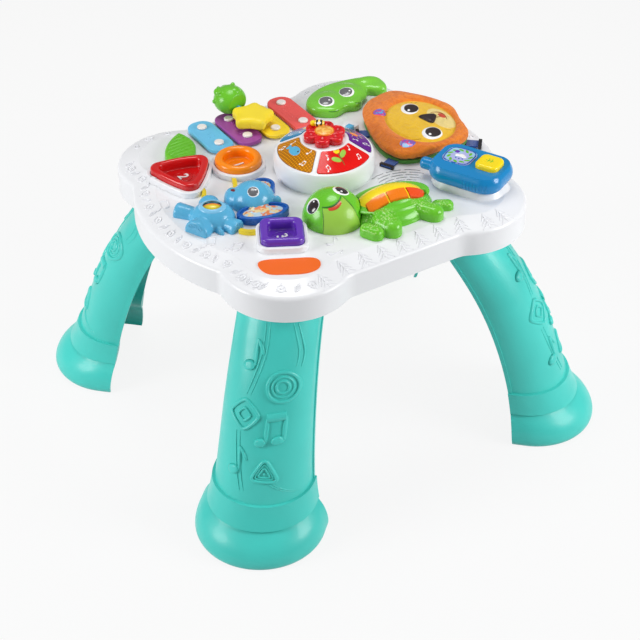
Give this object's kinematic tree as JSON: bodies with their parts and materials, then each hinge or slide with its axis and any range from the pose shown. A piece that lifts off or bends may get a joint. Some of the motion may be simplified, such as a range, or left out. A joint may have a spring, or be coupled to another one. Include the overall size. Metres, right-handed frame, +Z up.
{
  "type": "musical activity table",
  "caption": "Low four-legged activity table for toddlers: lobed top with spinning flower drum, shape cups, xylophone bars, animal toys, phone and plush pad on splayed shell legs.",
  "frame": {"origin": "on the floor under the middle of the table, the middle of the bounding box seen from above", "axes": "+Z up; -Y is the side with the turtle, -X the side with the elephant, +Y the side with the xylophone, +X the side with the plush pad"},
  "size_m": [0.5164, 0.4974, 0.3515],
  "materials": {
    "white_plastic": "satin moulded",
    "battery_jacket": "shrink sleeve",
    "spring_steel": "plated",
    "board_laminate": "solder mask",
    "silicone": "matte",
    "lamp_lens": "clear",
    "speaker_black": "matte",
    "red_plastic": "gloss moulded",
    "yellow_plastic": "gloss moulded",
    "green_plastic": "gloss moulded",
    "light_blue_plastic": "gloss moulded",
    "dark_blue_plastic": "gloss moulded",
    "blue_plastic": "gloss moulded",
    "pale_green_plastic": "gloss moulded",
    "orange_plastic": "gloss moulded",
    "orange_plush": "short pile plush",
    "green_fabric": "felt",
    "blue_webbing": "woven",
    "black_plastic": "satin moulded",
    "printed_panel": "printed insert",
    "orange_label": "printed film",
    "teal_plastic": "satin moulded",
    "purple_plastic": "gloss moulded",
    "violet_plastic": "gloss moulded",
    "coral_plastic": "gloss moulded",
    "teal_lens": "translucent",
    "amber_lens": "translucent",
    "red_lens": "translucent",
    "purple_lens": "translucent"
  },
  "bodies": {
    "table": {"bar_pins": "white_plastic", "batteries": "battery_jacket", "battery_contacts": "spring_steel", "battery_door": "white_plastic", "circuit_board": "board_laminate", "contact_domes": "silicone", "drum_board": "board_laminate", "drum_housing": "white_plastic", "drum_lamps": "lamp_lens", "elephant_body": "light_blue_plastic", "elephant_ears": "dark_blue_plastic", "elephant_head": "light_blue_plastic", "flower_spindle": "spring_steel", "gourd": "green_plastic", "housing_screws": "spring_steel", "key_boards": "board_laminate", "label_plate": "orange_label", "leaf": "green_plastic", "leg_back": "teal_plastic", "leg_front": "teal_plastic", "leg_left": "teal_plastic", "leg_right": "teal_plastic", "link_straps": "yellow_plastic", "lion_backing": "green_fabric", "lion_pad": "orange_plush", "lion_straps": "blue_webbing", "phone_body": "blue_plastic", "phone_screen": "printed_panel", "roller_axle": "spring_steel", "speaker": "speaker_black", "strap_buckles": "black_plastic", "top_shell": "white_plastic", "turtle_body": "green_plastic", "turtle_head": "green_plastic", "turtle_jaw": "pale_green_plastic", "turtle_shell": "yellow_plastic", "underside_cover": "white_plastic"},
    "flower_spinner": {"flower": "red_plastic", "flower_centre": "yellow_plastic", "flower_bee": "yellow_plastic"},
    "belly_roller": {"belly_roller": "orange_plastic"},
    "mallet": {"mallet_star": "yellow_plastic", "mallet_ball": "green_plastic", "mallet_stem": "light_blue_plastic"},
    "phone_button": {"phone_button": "yellow_plastic"},
    "volume_slider": {"volume_slider": "light_blue_plastic"},
    "cup_round": {"cup_round": "orange_plastic"},
    "cup_square": {"cup_square": "purple_plastic"},
    "cup_triangle": {"cup_triangle": "red_plastic"},
    "pad_teal": {"pad_teal": "teal_lens"},
    "pad_amber": {"pad_amber": "amber_lens"},
    "pad_red": {"pad_red": "red_lens"},
    "pad_purple": {"pad_purple": "purple_lens"},
    "bar_blue": {"bar_blue": "light_blue_plastic"},
    "bar_purple": {"bar_purple": "violet_plastic"},
    "bar_yellow": {"bar_yellow": "yellow_plastic"},
    "bar_red": {"bar_red": "coral_plastic"},
    "turtle_key_1": {"turtle_key_1": "orange_plastic"},
    "turtle_key_2": {"turtle_key_2": "orange_plastic"},
    "turtle_key_3": {"turtle_key_3": "orange_plastic"}
  },
  "joints": [
    {"name": "flower_spin", "type": "hinge", "parent": "table", "child": "flower_spinner", "pos_m": [0.0095, 0.0039, 0.3374], "axis": [0, 0, 1], "continuous": true},
    {"name": "pad_teal_press", "type": "slide", "parent": "table", "child": "pad_teal", "axis": [0, 0, -1], "range_m": [0, 0.0015], "stiffness_N_per_m": 500, "springref_m": -0.0015},
    {"name": "pad_amber_press", "type": "slide", "parent": "table", "child": "pad_amber", "axis": [0, 0, -1], "range_m": [0, 0.0015], "stiffness_N_per_m": 500, "springref_m": -0.0015},
    {"name": "pad_red_press", "type": "slide", "parent": "table", "child": "pad_red", "axis": [0, 0, -1], "range_m": [0, 0.0015], "stiffness_N_per_m": 500, "springref_m": -0.0015},
    {"name": "pad_purple_press", "type": "slide", "parent": "table", "child": "pad_purple", "axis": [0, 0, -1], "range_m": [0, 0.0015], "stiffness_N_per_m": 500, "springref_m": -0.0015},
    {"name": "cup_round_press", "type": "slide", "parent": "table", "child": "cup_round", "axis": [0, 0, -1], "range_m": [0, 0.0025], "stiffness_N_per_m": 500, "springref_m": -0.0015},
    {"name": "cup_square_press", "type": "slide", "parent": "table", "child": "cup_square", "axis": [0, 0, -1], "range_m": [0, 0.0025], "stiffness_N_per_m": 500, "springref_m": -0.0015},
    {"name": "cup_triangle_press", "type": "slide", "parent": "table", "child": "cup_triangle", "axis": [0, 0, -1], "range_m": [0, 0.0025], "stiffness_N_per_m": 500, "springref_m": -0.0015},
    {"name": "bar_blue_press", "type": "slide", "parent": "table", "child": "bar_blue", "axis": [0, 0, -1], "range_m": [0, 0.0015], "stiffness_N_per_m": 500, "springref_m": -0.0015},
    {"name": "bar_purple_press", "type": "slide", "parent": "table", "child": "bar_purple", "axis": [0, 0, -1], "range_m": [0, 0.0015], "stiffness_N_per_m": 500, "springref_m": -0.0015},
    {"name": "bar_yellow_press", "type": "slide", "parent": "table", "child": "bar_yellow", "axis": [0, 0, -1], "range_m": [0, 0.0015], "stiffness_N_per_m": 500, "springref_m": -0.0015},
    {"name": "bar_red_press", "type": "slide", "parent": "table", "child": "bar_red", "axis": [0, 0, -1], "range_m": [0, 0.0015], "stiffness_N_per_m": 500, "springref_m": -0.0015},
    {"name": "turtle_key_1_press", "type": "slide", "parent": "table", "child": "turtle_key_1", "axis": [0, 0, -1], "range_m": [0, 0.0015], "stiffness_N_per_m": 400, "springref_m": -0.0015},
    {"name": "turtle_key_2_press", "type": "slide", "parent": "table", "child": "turtle_key_2", "axis": [0, 0, -1], "range_m": [0, 0.0015], "stiffness_N_per_m": 400, "springref_m": -0.0015},
    {"name": "turtle_key_3_press", "type": "slide", "parent": "table", "child": "turtle_key_3", "axis": [0, 0, -1], "range_m": [0, 0.0015], "stiffness_N_per_m": 400, "springref_m": -0.0015},
    {"name": "phone_button_press", "type": "slide", "parent": "table", "child": "phone_button", "axis": [0, 0, -1], "range_m": [0, 0.0015], "stiffness_N_per_m": 400, "springref_m": -0.0015},
    {"name": "belly_roller_spin", "type": "hinge", "parent": "table", "child": "belly_roller", "pos_m": [-0.146, -0.02, 0.3075], "axis": [0.866, -0.5, 0], "continuous": true},
    {"name": "mallet_lift", "type": "slide", "parent": "table", "child": "mallet", "axis": [0, 0, 1], "range_m": [0, 0.12]},
    {"name": "volume_slide", "type": "slide", "parent": "table", "child": "volume_slider", "axis": [-0.342, 0.9397, 0], "range_m": [0, 0.008]}
  ]
}
